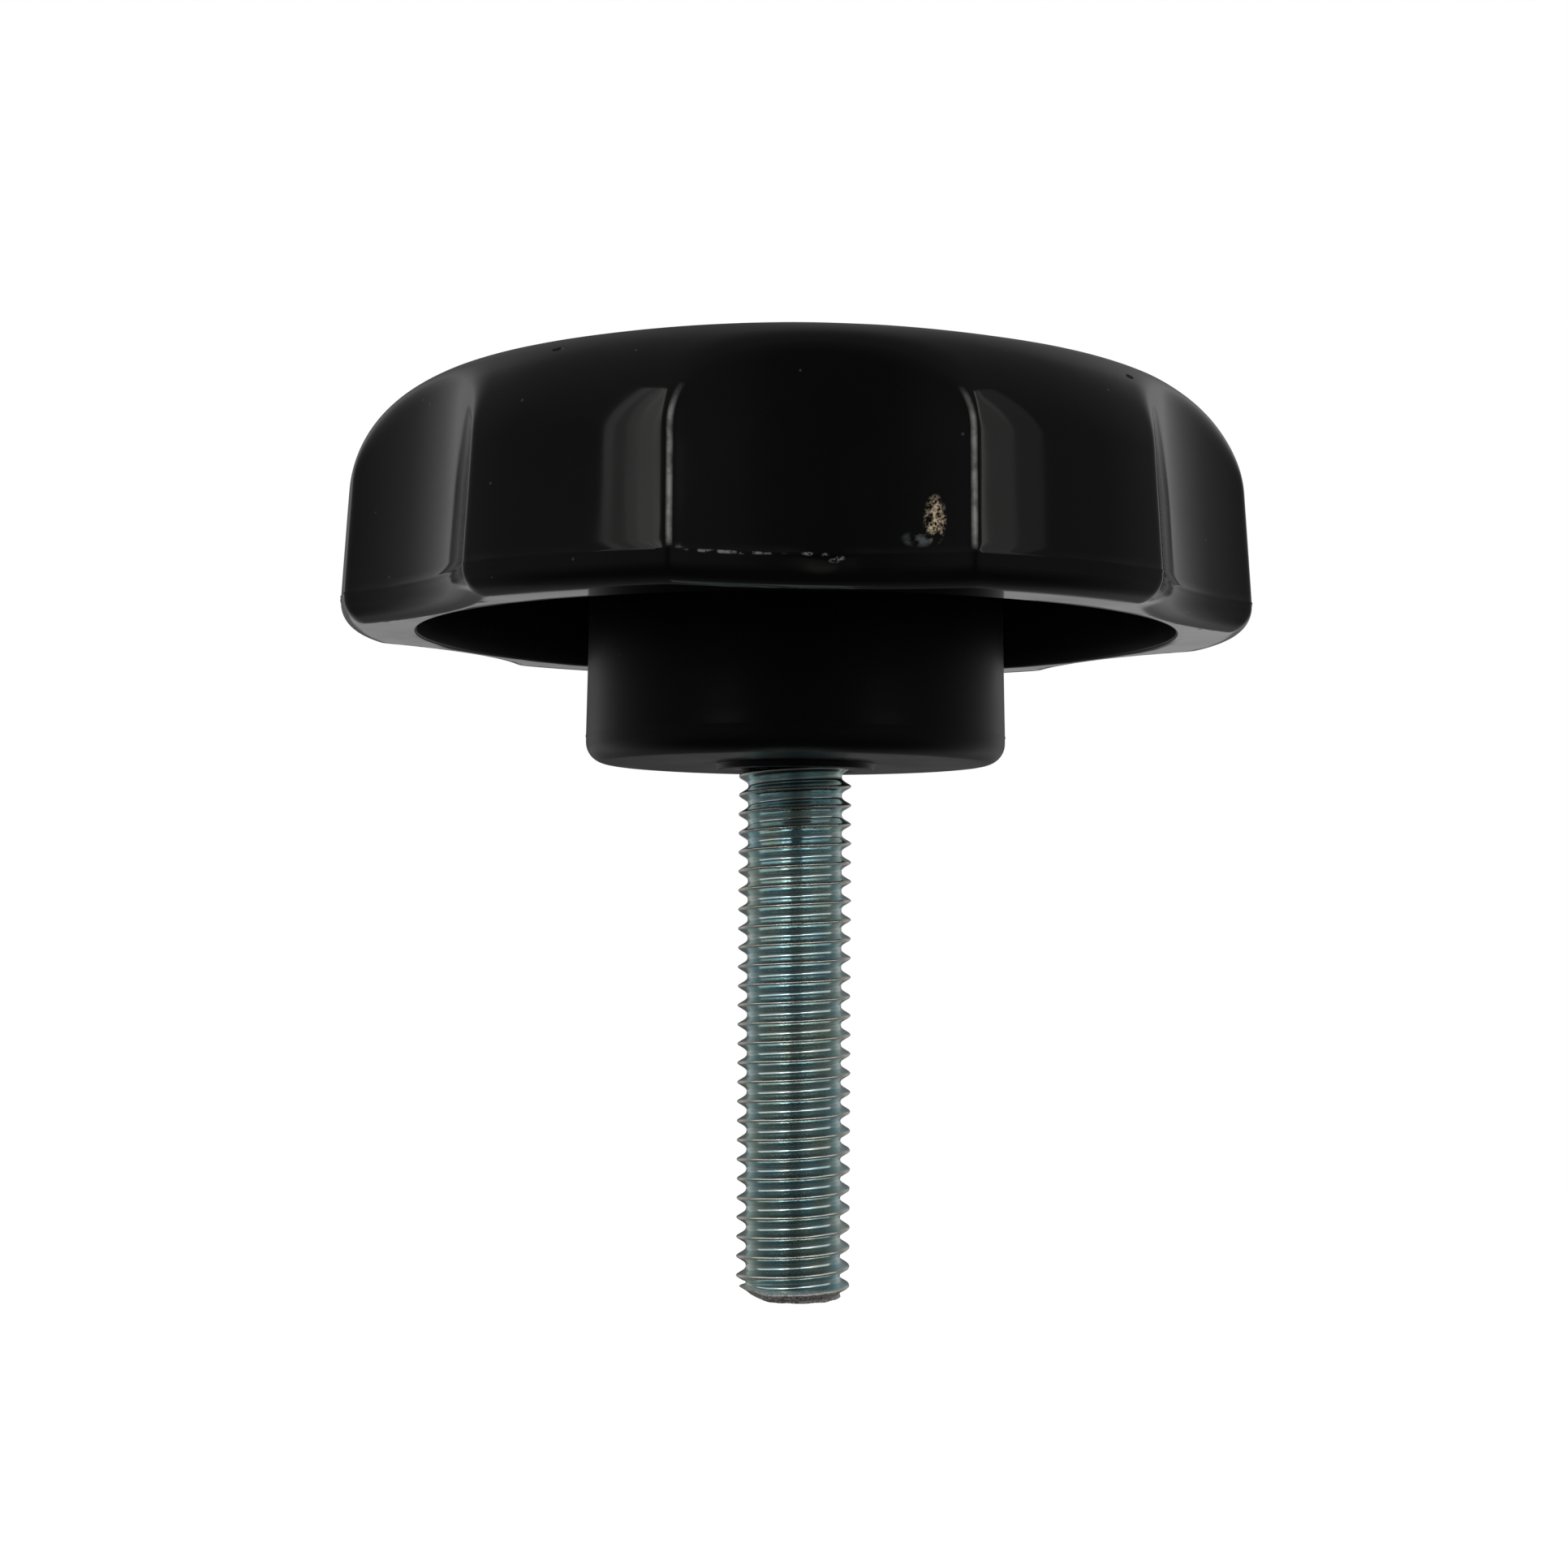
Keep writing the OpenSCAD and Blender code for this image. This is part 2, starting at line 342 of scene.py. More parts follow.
rounding = add(knob, RANGE, [spot[2], given["Arch from"], given["Arch to"], given["Edge rounding"],
                             given["Arch rounding"]], interpolation_type="SMOOTHSTEP")
cut_r = add(knob, MATHS, [spot[0], scallop_at, rounding], operation="SMOOTH_MIN")
apart = add(knob, MATHS, [add(knob, MATHS, [spot[0], scallop_at], operation="SUBTRACT")], operation="ABSOLUTE")
edge = add(knob, RANGE, [apart, 0.0, given["Edge rounding"], 1.0, 0.0])

# %% [markdown]
# The two halves of the mould left a thin ragged flash along their parting line. The seat of the stud's hexagon head,
# inside the hub, is further out towards its corners.

# %% Flash, hexagon and place
FLASH_LUMPS = 24
round_x = add(knob, MATHS, [bearing], operation="COSINE")
round_y = add(knob, MATHS, [bearing], operation="SINE")
ragged = add(knob, NOISE, {"Vector": add(knob, JOIN, [round_x, round_y]), "Scale": FLASH_LUMPS, "Detail": 4.0})
ragged = add(knob, RANGE, [ragged, 0.35, 0.75, 0.15, 1.0])
flash = add(knob, MATHS, [traits[1], given["Flash height"]], operation="MULTIPLY")
flash = add(knob, MATHS, [flash, ragged], operation="MULTIPLY")
corner = add(knob, MATHS, [add(knob, MATHS, [1.0, cosine], operation="DIVIDE"), 1.0], operation="SUBTRACT")
stretch = add(knob, MATHS, [corner, traits[2], 1.0], operation="MULTIPLY_ADD")
radius = add(knob, MATHS, [cut_r, stretch, flash], operation="MULTIPLY_ADD")
rolled = add(knob, JOIN, [add(knob, MATHS, [radius, round_x], operation="MULTIPLY"),
                          add(knob, MATHS, [radius, round_y], operation="MULTIPLY"), spot[2]])

# %% [markdown]
# Thick plastic shrinks a little unevenly as it cools, so the outside is not quite true, and its edges are rubbed by
# years of fingers. Both are tiny, but a mirror shows them. The rule keeps the edges as an attribute for the finish.

# %% Keep the edges, then roll up
WELD = 0.001 * MM
skin = add(knob, MATHS, [1.0, uncut], operation="SUBTRACT")
edge = add(knob, MATHS, [edge, skin], operation="MULTIPLY")
kept = add(knob, "GeometryNodeStoreNamedAttribute", {"Geometry": grid, "Name": "skin", "Value": skin})
kept = add(knob, "GeometryNodeStoreNamedAttribute", {"Geometry": kept, "Name": "edge", "Value": edge})
body = add(knob, "GeometryNodeSetPosition", {"Geometry": kept, "Position": rolled})
body = add(knob, "GeometryNodeMergeByDistance", {"Geometry": body, "Distance": WELD})
body = add(knob, "GeometryNodeFlipFaces", [body])

# %% Shrinkage and wear
WEAR_MM = 1.6
here = add(knob, "GeometryNodeInputPosition")
on_skin, on_edge = (add(knob, "GeometryNodeInputNamedAttribute", [name], data_type="FLOAT")
                    for name in ("skin", "edge"))
ripples = add(knob, MATHS, [1.0, given["Wave length"]], operation="DIVIDE")
wave = add(knob, NOISE, {"Vector": here, "Scale": ripples})
wave = add(knob, MATHS, [wave, 0.5], operation="SUBTRACT")
wave = add(knob, MATHS, [wave, given["Waviness"]], operation="MULTIPLY")
wave = add(knob, MATHS, [wave, on_skin], operation="MULTIPLY")
wear = add(knob, NOISE, {"Vector": here, "Scale": 1 / (WEAR_MM * MM), "Detail": 3.0})
wear = add(knob, MATHS, [wear, 0.5], operation="SUBTRACT")
wear = add(knob, MATHS, [wear, given["Edge wear"]], operation="MULTIPLY")
lift = add(knob, MATHS, [wear, on_edge, wave], operation="MULTIPLY_ADD")


# %% [markdown]
# A chip is missing from the rim just below the parting line of the front scallop. It is pressed into the mesh.

# %% Chip and closing
def spot_mask(tree, where, centre, half):
    """A mask that is 1 at a spot on the piece and fades to 0 at its half sizes, all in millimetres."""
    offset = add(tree, VECTORS, [where, [v * MM for v in centre]], operation="SUBTRACT")
    scaled = add(tree, VECTORS, [offset, [v * MM for v in half]], operation="DIVIDE")
    return add(tree, RANGE, [add(tree, VECTORS, [scaled], operation="LENGTH").outputs["Value"], 0.5, 1.0, 1.0, 0.0])


CHIP_PLACE = (0.3, -34, 13.3)
CHIP_HALF = (1.8, 1.5, 0.75)
chip = add(knob, MATHS, [spot_mask(knob, here, CHIP_PLACE, CHIP_HALF), on_skin], operation="MULTIPLY")
chip = add(knob, MATHS, [chip, given["Chip depth"]], operation="MULTIPLY")
lift = add(knob, MATHS, [lift, chip], operation="SUBTRACT")
push = add(knob, VECTORS, {0: add(knob, "GeometryNodeInputNormal"), "Scale": lift}, operation="SCALE")
body = add(knob, "GeometryNodeSetPosition", {"Geometry": body, "Offset": push})
body = add(knob, "GeometryNodeSetShadeSmooth", [body])
body = add(knob, "GeometryNodeRealizeInstances", [body])
body = add(knob, "GeometryNodeSetMaterial", {"Geometry": body, "Material": given["Material"]})
add(knob, "NodeGroupOutput", [body])
print("lobed head:", len(knob.nodes), "nodes")


# %% [markdown]
# ## Black moulded plastic
# The head is a compression-moulded phenolic, the hard glossy plastic of old radio cases. A polished mould gives it
# clear reflections on near-black, a little cloudy where the resin flowed. The hub and the hollow come from a less
# polished core of the mould, so they are satin.

# %% Start of the finish
def new_material(name):
    """A material with a shader and nothing else."""
    material = bpy.data.materials.new(name)
    material.use_nodes = True
    material.node_tree.nodes.clear()
    shader = add(material.node_tree, "ShaderNodeBsdfPrincipled")
    add(material.node_tree, "ShaderNodeOutputMaterial", [shader])
    return material, material.node_tree, shader


phenolic, black, black_shader = new_material("black_phenolic")
where = add(black, "ShaderNodeTexCoord").outputs["Object"]
_, depth, height = add(black, SPLIT, [where]).outputs
edge, skin = (add(black, "ShaderNodeAttribute", attribute_name=name).outputs["Fac"] for name in ("edge", "skin"))
cloud_mm, rub_and_highlight_mm, grain_mm, dash_mm = 6, 1.3, 0.2, 0.7
cloud, rub_and_highlight_noise, grain, dash = (add(black, NOISE, {"Vector": where, "Scale": 1 / (size * MM), "Detail": 3.0})
                           for size in (cloud_mm, rub_and_highlight_mm, grain_mm, dash_mm))

# %% [markdown]
# Marks of use on the front each get a mask: two rubbed edges of the scallop, lightened as wear and as a painted
# highlight along them, bits of flash that stand on the parting line, splinters in the chip, lightened as a painted
# highlight on its rim, raw plastic in the chip, a scuff, pale as wear and as a painted glint, with a smear below it,
# three nicks near the crown, and dust. A mark is a centre and its half sizes in millimetres, and noise breaks up its
# outline.

# %% Rubbed edges with a painted highlight, and flash
RUB_AND_HIGHLIGHT_FRONT = (-34 * MM, -31 * MM)
RUB_AND_HIGHLIGHT_FOOT = ((PARTING_Z + 0.2) * MM, (PARTING_Z + 0.7) * MM)
RUB_AND_HIGHLIGHT_TOP = (23 * MM, 26 * MM)
FLASH_MARK = (-6.2, -35.2, PARTING_Z), (4.6, 2, 0.15)
# The rubbed front edges of the scallop are light grey: real wear and a painted highlight along the edge.
rub_and_highlight = add(black, RANGE, [edge, 0.5, 0.95, 0.0, 1.0])
for share in (add(black, RANGE, [depth, *RUB_AND_HIGHLIGHT_FRONT, 1.0, 0.0]), add(black, RANGE, [rub_and_highlight_noise, 0.35, 0.6, 0.35, 1.0]),
              add(black, RANGE, [height, *RUB_AND_HIGHLIGHT_FOOT, 0.0, 1.0]), add(black, RANGE, [height, *RUB_AND_HIGHLIGHT_TOP, 1.0, 0.0])):
    rub_and_highlight = add(black, MATHS, [rub_and_highlight, share], operation="MULTIPLY")
flash = spot_mask(black, where, *FLASH_MARK)
flash = add(black, MATHS, [flash, add(black, RANGE, [dash, 0.46, 0.58, 0.0, 1.0])], operation="MULTIPLY")

# %% Chip with painted highlights on its rim, scuff with a painted glint, nicks and dust
RAW_MARK = (0, -34, 13.1), (1.5, 1.6, 0.7)
SCUFF_AND_GLINT_MARK = (8, -35.4, 16.4), (0.9, 1.5, 2)
SMEAR_MARK = (6.9, -35.2, 15), (1.5, 1.5, 0.7)
NICK_HALF = (0.5, 0.7, 0.25)
SPECK_MM = 2.8
# The splinters are light grey spots along the chip's upper rim: a little real relief, and a painted highlight on the
# broken edge.
splinter_highlights = [((-0.9, -34, 13.92), (0.5, 1, 0.16)), ((0.35, -34, 13.86), (0.3, 1, 0.16)),
             ((1.0, -34, 13.5), (0.5, 1, 0.2)), ((1.4, -34, 13.65), (0.4, 1, 0.2))]
nick_places = [(-19, -27.4, 29.7), (23.7, -24.8, 28.9), (27.1, -21.4, 28.6)]
raw = spot_mask(black, where, *RAW_MARK)
splinter_highlight, nick = (add(black, "ShaderNodeValue").outputs[0] for _ in range(2))
for centre, half in splinter_highlights:
    splinter_highlight = add(black, MATHS, [splinter_highlight, spot_mask(black, where, centre, half)], operation="MAXIMUM")
splinter_highlight = add(black, MATHS, [splinter_highlight, add(black, RANGE, [grain, 0.42, 0.52, 0.0, 1.0])], operation="MULTIPLY")
for centre in nick_places:
    nick = add(black, MATHS, [nick, spot_mask(black, where, centre, NICK_HALF)], operation="MAXIMUM")
# The scuff's pale warm colour is real wear and a painted glint.
scuff_and_glint = spot_mask(black, where, *SCUFF_AND_GLINT_MARK)
for share in (add(black, RANGE, [grain, 0.42, 0.58, 0.0, 1.0]), add(black, RANGE, [dash, 0.42, 0.54, 0.0, 1.0])):
    scuff_and_glint = add(black, MATHS, [scuff_and_glint, share], operation="MULTIPLY")
smear = spot_mask(black, where, *SMEAR_MARK)
smear = add(black, MATHS, [smear, add(black, RANGE, [dash, 0.4, 0.6, 0.0, 0.8])], operation="MULTIPLY")
speck = add(black, "ShaderNodeTexVoronoi", {"Vector": where, "Scale": 1 / (SPECK_MM * MM)})
speck = add(black, RANGE, [speck, 0.03, 0.05, 0.6, 0.0])

# %% Colour, gloss and relief of the plastic
shade = add(black, MIX, {0: cloud, 6: linear("#040405"), 7: linear("#090909")}, data_type="RGBA").outputs[2]
# The rubbed edges, the splinters and the scuff are lightened here: painted highlights over real wear.
for mask, colour in ((rub_and_highlight, "#a2a2a0"), (flash, "#8a8a88"), (raw, "#15130f"), (splinter_highlight, "#8e8d8a"),
                     (smear, "#5c6062"), (scuff_and_glint, "#e2cba8"), (speck, "#4a4a4a")):
    shade = add(black, MIX, {0: mask, 6: shade, 7: linear(colour)}, data_type="RGBA").outputs[2]
inner = add(black, MATHS, [1.0, skin], operation="SUBTRACT")
gloss = add(black, RANGE, [cloud, 0.3, 0.7, 0.06, 0.11])
for mask, dulling in ((inner, 0.25), (rub_and_highlight, 0.25), (raw, 0.4), (splinter_highlight, 0.3), (smear, 0.3), (scuff_and_glint, 0.3),
                      (nick, 0.5)):
    gloss = add(black, MATHS, [mask, dulling, gloss], operation="MULTIPLY_ADD")
dull = add(black, MATHS, [inner, nick], operation="MAXIMUM")
shine = add(black, MATHS, [dull, -0.25, 0.5], operation="MULTIPLY_ADD")
relief = add(black, MATHS, [scuff_and_glint, 0.05 * MM], operation="MULTIPLY")
relief = add(black, MATHS, [nick, -0.2 * MM, relief], operation="MULTIPLY_ADD")
relief = add(black, MATHS, [splinter_highlight, 0.1 * MM, relief], operation="MULTIPLY_ADD")
bump = add(black, "ShaderNodeBump", {"Strength": 1.0, "Distance": 1.0, "Height": relief})
black_shader.inputs["Specular Tint"].default_value = linear("#fdfffa")
for source, target in ((shade, "Base Color"), (gloss.outputs[0], "Roughness"),
                       (shine.outputs[0], "Specular IOR Level"), (bump.outputs[0], "Normal")):
    black.links.new(source, black_shader.inputs[target])
print("black phenolic:", len(black.nodes), "nodes")


# %% [markdown]
# A tree runs on an empty mesh object. Its inputs are set first, then the result is copied to a plain mesh.

# %% Grow the head
def grow(name, tree, values):
    """Run a tree and keep its result as a plain mesh object."""
    carrier = bpy.data.objects.new(name + "_rule", bpy.data.meshes.new(name + "_rule"))
    bpy.context.scene.collection.objects.link(carrier)
    modifier = carrier.modifiers.new("rule", "NODES")
    modifier.node_group = tree
    identifiers = {item.name: item.identifier for item in tree.interface.items_tree if item.in_out == "INPUT"}
    for label, value in values.items():
        modifier[identifiers[label]] = value
    mesh = bpy.data.meshes.new_from_object(carrier.evaluated_get(bpy.context.evaluated_depsgraph_get()))
    mesh.name = name
    carrier.modifiers.remove(modifier)
    bpy.data.objects.remove(carrier)
    piece = bpy.data.objects.new(name, mesh)
    bpy.context.scene.collection.objects.link(piece)
    print(name, "triangles", sum(len(face.vertices) - 2 for face in mesh.polygons))
    return piece


COLUMNS_PER_SCALLOP = 62
edge_angle = asin(SCALLOP_W / 2 / HEAD_R)
scallop_sag = HEAD_R * cos(edge_angle) - FLOOR_R
scallop_axis_r = FLOOR_R + ((SCALLOP_W / 2) ** 2 + scallop_sag ** 2) / (2 * scallop_sag)
head = grow("knob_head_moulding", knob, {
    "Section": head_chain, "Rows": len(head_chain.data.vertices),
    "Steps round": COLUMNS_PER_SCALLOP * SCALLOP_COUNT, "Scallops": SCALLOP_COUNT, "Edge angle": edge_angle,
    "Edge crowding": 0.8, "Edge rounding": 0.4 * MM,
    "Arch rounding": 1.8 * MM, "Arch from": 23.5 * MM, "Arch to": 28 * MM,
    "Scallop axis radius": scallop_axis_r * MM, "Flash height": 0.16 * MM, "Waviness": 0.05 * MM,
    "Wave length": 9 * MM, "Edge wear": 0.02 * MM, "Chip depth": 0.45 * MM, "Material": phenolic})
bpy.data.objects.remove(head_chain)
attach(head, "root")
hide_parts("knob_head")
print("scallop edge at", round(degrees(edge_angle), 2), "degrees, axis at", round(scallop_axis_r, 2), "mm")

# %% [markdown]
# ## The rolled thread
# The stud has a 3/8-16 thread that was rolled between dies: narrow crests and wide round roots. A screw modifier would
# do for the middle, but not for the top turn under the hub or the cut end. So a second rule rolls up a grid, and the
# radius at each point follows from its height and bearing: one turn climbs one pitch.

# %% Section of the stud
PITCH = 25.4 / 16
STUD_LEN = 43.2
STUD_CHAMFER = 0.8
SHEAR_RISE = 1.6
ROWS_PER_PITCH = 22
STUD_COLUMNS = 72


def stud_section():
    """Rows of (radius, height, thread, end, hexagon) from the cut end up to the anchoring head."""
    end_r = STUD_R - STUD_CHAMFER
    rows = [(r, z, 0, 1, 0) for r, z in [(0, -STUD_LEN), *line((0, -STUD_LEN), (end_r, -STUD_LEN), 8)]]
    thread_top = FOOT_Z - INSERT_GAP
    steps = round((STUD_LEN + thread_top) / PITCH * ROWS_PER_PITCH)
    for _, z in line((end_r, -STUD_LEN), (end_r, thread_top), steps):
        rise = STUD_LEN + z
        rows.append((min(STUD_R, end_r + rise), z, 1, max(0, 1 - rise / SHEAR_RISE), 0))
    rows += [(r, z, 0, 0, 0) for r, z in [(NECK_R, thread_top), *line((NECK_R, thread_top), (NECK_R, ANCHOR_Z), 4)]]
    anchor_top = ANCHOR_Z + ANCHOR_H
    rows += [(ANCHOR_APOTHEM, ANCHOR_Z, 0, 0, 1), (ANCHOR_APOTHEM, anchor_top, 0, 0, 1)]
    return rows + [(0, anchor_top, 0, 0, 0)]


stud_chain = section_object("stud_section", stud_section())

# %% The thread's groove
CREST_FLAT = 0.05
screw = new_tree("rolled_thread", {
    "Section": "Object", "Rows": "Int", "Steps round": "Int", "Pitch": "Float", "Outside radius": "Float",
    "Thread depth": "Float", "Crest rounding": "Float", "Root rounding": "Float", "Crest wear": "Float",
    "End roughness": "Float", "Bent corner": "Float", "Material": "Material"})
given = add(screw, "NodeGroupInput").outputs
grid, turn, row = rolled_grid(screw, given)
spot, traits = section_at(screw, given, row)
climb = add(screw, MATHS, [add(screw, MATHS, [spot[2], given["Pitch"]], operation="DIVIDE"), turn],
            operation="SUBTRACT")
from_crest = add(screw, MATHS, [add(screw, MATHS, [climb], operation="FRACT"), 0.5], operation="SUBTRACT")
from_crest = add(screw, MATHS, [from_crest], operation="ABSOLUTE")
sharp_height = add(screw, MATHS, [given["Pitch"], sqrt(3)], operation="MULTIPLY")
crest_flat = add(screw, MATHS, [sharp_height, -CREST_FLAT], operation="MULTIPLY")
groove = add(screw, MATHS, [from_crest, sharp_height, crest_flat], operation="MULTIPLY_ADD")
groove = add(screw, MATHS, [groove, 0.0, given["Crest rounding"]], operation="SMOOTH_MAX")
groove = add(screw, MATHS, [groove, given["Thread depth"], given["Root rounding"]], operation="SMOOTH_MIN")

# %% The stud's place
bearing = add(screw, MATHS, [turn, 2 * pi], operation="MULTIPLY")
round_x = add(screw, MATHS, [bearing], operation="COSINE")
round_y = add(screw, MATHS, [bearing], operation="SINE")
cut_r = add(screw, MATHS, [given["Outside radius"], groove], operation="SUBTRACT")
cut_r = add(screw, MATHS, [cut_r, spot[0]], operation="MINIMUM")
radius = add(screw, MIX, {0: traits[0], 2: spot[0], 3: cut_r}, data_type="FLOAT")
sixth = add(screw, MATHS, [add(screw, MATHS, [turn, 6.0], operation="MULTIPLY")], operation="FRACT")
sixth = add(screw, MATHS, [sixth, pi / 3, -pi / 6], operation="MULTIPLY_ADD")
corner = add(screw, MATHS, [1.0, add(screw, MATHS, [sixth], operation="COSINE")], operation="DIVIDE")
corner = add(screw, MATHS, [corner, 1.0], operation="SUBTRACT")
stretch = add(screw, MATHS, [corner, traits[2], 1.0], operation="MULTIPLY_ADD")
radius = add(screw, MATHS, [radius, stretch], operation="MULTIPLY")
rolled = add(screw, JOIN, [add(screw, MATHS, [radius, round_x], operation="MULTIPLY"),
                           add(screw, MATHS, [radius, round_y], operation="MULTIPLY"), spot[2]])

# %% [markdown]
# The crests are dented from use. The end was sheared off and left rough, with one corner bent up. The rule keeps how
# deep each point lies in the groove, and where the cut end is, for the finish.

# %% Wear of the thread and closing
BITE_MM = 1.4
DENT_MM = 0.5
BEND = (-3.9 * MM, -2.2 * MM)
bite = add(screw, NOISE, {"Vector": rolled, "Scale": 1 / (BITE_MM * MM), "Detail": 3.0})
bite = add(screw, MATHS, [bite, given["End roughness"]], operation="MULTIPLY")
side = add(screw, SPLIT, [rolled]).outputs["X"]
bent = add(screw, RANGE, [side, *BEND, given["Bent corner"], 0.0])
bite = add(screw, MATHS, [add(screw, MATHS, [bite, bent], operation="ADD"), traits[1]], operation="MULTIPLY")
depth = add(screw, MATHS, [groove, given["Thread depth"]], operation="DIVIDE")
crest = add(screw, MATHS, [add(screw, RANGE, [depth, 0.0, 0.35, 1.0, 0.0]), traits[0]], operation="MULTIPLY")
dent = add(screw, NOISE, {"Vector": rolled, "Scale": 1 / (DENT_MM * MM), "Detail": 2.0})
dent = add(screw, MATHS, [add(screw, RANGE, [dent, 0.45, 0.75, 0.0, 1.0]), crest], operation="MULTIPLY")
dent = add(screw, MATHS, [dent, given["Crest wear"]], operation="MULTIPLY")
inward = add(screw, VECTORS, {0: add(screw, JOIN, [round_x, round_y]), "Scale": dent}, operation="SCALE")
shift = add(screw, VECTORS, [add(screw, JOIN, {2: bite}), inward], operation="SUBTRACT")
kept = add(screw, "GeometryNodeStoreNamedAttribute", {"Geometry": grid, "Name": "groove", "Value": depth})
kept = add(screw, "GeometryNodeStoreNamedAttribute", {"Geometry": kept, "Name": "cut_end", "Value": traits[1]})
body = add(screw, "GeometryNodeSetPosition", {"Geometry": kept, "Position": rolled, "Offset": shift})
body = add(screw, "GeometryNodeMergeByDistance", {"Geometry": body, "Distance": WELD})
body = add(screw, "GeometryNodeSetShadeSmooth", [body])
body = add(screw, "GeometryNodeRealizeInstances", [body])
body = add(screw, "GeometryNodeSetMaterial", {"Geometry": body, "Material": given["Material"]})
add(screw, "NodeGroupOutput", [body])
print("rolled thread:", len(screw.nodes), "nodes")


# %% [markdown]
# ## Blue zinc plating
# The stud is steel with a thin bright coat of zinc, passivated so that it shimmers blue and green. The crests are
# rubbed to a warm grey, and the cut end shows raw steel, grey and rough.

# %% Zinc plating
zinc, plate, plate_shader = new_material("blue_zinc_plating")
where = add(plate, "ShaderNodeTexCoord").outputs["Object"]
drift_mm, grain_mm = 2.5, 0.2
drift, grain = (add(plate, NOISE, {"Vector": where, "Scale": 1 / (size * MM), "Detail": 3.0})
                for size in (drift_mm, grain_mm))
groove, cut_end = (add(plate, "ShaderNodeAttribute", attribute_name=name).outputs["Fac"]
                   for name in ("groove", "cut_end"))
raw = add(plate, RANGE, [cut_end, 0.25, 0.6, 0.0, 1.0])
tint = add(plate, MIX, {0: add(plate, RANGE, [drift, 0.35, 0.65, 0.0, 1.0]), 6: linear("#bad8dd"),
                        7: linear("#cddcd4")}, data_type="RGBA").outputs[2]
grey = add(plate, MIX, {0: add(plate, RANGE, [grain, 0.4, 0.6, 0.0, 1.0]), 6: linear("#5a5855"),
                        7: linear("#b4b0aa")}, data_type="RGBA").outputs[2]
crest = add(plate, RANGE, [groove, 0.02, 0.2, 0.8, 0.0])
for mask, colour in ((crest, linear("#dcd6cc")), (raw, grey)):
    tint = add(plate, MIX, {0: mask, 6: tint, 7: colour}, data_type="RGBA").outputs[2]
gloss = add(plate, RANGE, [grain, 0.3, 0.7, 0.1, 0.2])
for mask, dulling in ((crest, 0.12), (raw, 0.2)):
    gloss = add(plate, MATHS, [mask, dulling, gloss], operation="MULTIPLY_ADD")
bump = add(plate, "ShaderNodeBump", {"Strength": 0.2, "Distance": 0.02 * MM, "Height": grain})
metal = add(plate, MATHS, [raw, -0.8, 1.0], operation="MULTIPLY_ADD")
for source, target in ((tint, "Base Color"), (metal.outputs[0], "Metallic"), (gloss.outputs[0], "Roughness"),
                       (bump.outputs[0], "Normal")):
    plate.links.new(source, plate_shader.inputs[target])
print("blue zinc plating:", len(plate.nodes), "nodes")

# %% Grow the stud
stud = grow("threaded_stud_rolled", screw, {
    "Section": stud_chain, "Rows": len(stud_chain.data.vertices), "Steps round": STUD_COLUMNS, "Pitch": PITCH * MM,
    "Outside radius": STUD_R * MM, "Thread depth": 0.8 * MM, "Crest rounding": 0.16 * MM,
    "Root rounding": 0.5 * MM, "Crest wear": 0.06 * MM, "End roughness": 0.25 * MM, "Bent corner": 0.6 * MM,
    "Material": zinc})
bpy.data.objects.remove(stud_chain)
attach(stud, "root")
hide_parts("threaded_stud")

# %% [markdown]
# ## Stage and light
# A plain pale floor lies well below the knob. It glows for the lens alone, so that it is as white as the rest of the
# background, and mirror-like rays pass through it to the room.

# %% Floor
FLOOR_DROP = 95 * MM
FLOOR_HALF = 0.6
FLOOR_GLOW = 0.9
floor_mesh = bpy.data.meshes.new("floor")
corners = [(x * FLOOR_HALF, y * FLOOR_HALF, -FLOOR_DROP) for x, y in ((-1, -1), (1, -1), (1, 1), (-1, 1))]
floor_mesh.from_pydata(corners, [], [(0, 1, 2, 3)])
floor = bpy.data.objects.new("floor", floor_mesh)
bpy.context.scene.collection.objects.link(floor)
pale = bpy.data.materials.new("pale_paper")
pale.use_nodes = True
pale.node_tree.nodes.clear()
paper = add(pale.node_tree, "ShaderNodeBsdfDiffuse", [linear("#7c7c7c")])
seen = add(pale.node_tree, "ShaderNodeLightPath").outputs["Is Camera Ray"]
glow = add(pale.node_tree, "ShaderNodeEmission", {
    "Strength": add(pale.node_tree, MATHS, [seen, FLOOR_GLOW], operation="MULTIPLY")})
add(pale.node_tree, "ShaderNodeOutputMaterial", [add(pale.node_tree, "ShaderNodeAddShader", [paper, glow])])
floor_mesh.materials.append(pale)
floor.visible_glossy = False
print("floor", round(FLOOR_DROP / MM), "mm below the origin")

# %% [markdown]
# Polished black shows the room more than it shows its own colour, so the room matters. One white world would turn the
# crown, the rim and the hub grey. So the world answers each kind of ray in its own way. The lens sees white. Diffuse
# rays get one plain level. Mirror-like rays see a dim room, whose level depends on the bearing, from 0 degrees at the
# lens to 180 behind the knob. A bright table behind and a little below lights the rim's lower face.

# %% Room
ROOM_LEVELS = [(0, 0.04), (14, 0.05), (26, 0.09), (50, 0.11), (80, 0.11), (114, 0.22), (144, 0.48), (162, 0.17),
               (180, 0.05)]
CEILING_LEVEL = 0.13
GROUND_LEVELS = (0.03, 0.08)
STEEP = (0.35, 0.8)
TABLE_LEVEL = 0.36
TABLE_BOTTOM = (-0.16, -0.13)
TABLE_TOP = (-0.09, -0.075)
BEHIND = (0.85, 0.95)
PLAIN_LEVEL = 0.7
world = bpy.data.worlds.new("studio")
bpy.context.scene.world = world
world.use_nodes = True
room = world.node_tree
room.nodes.clear()
x, y, z = add(room, SPLIT, [add(room, "ShaderNodeTexCoord").outputs["Generated"]]).outputs
ahead = add(room, MATHS, [y, -1.0], operation="MULTIPLY")
aside = add(room, MATHS, [add(room, MATHS, [x, ahead], operation="ARCTAN2")], operation="ABSOLUTE")
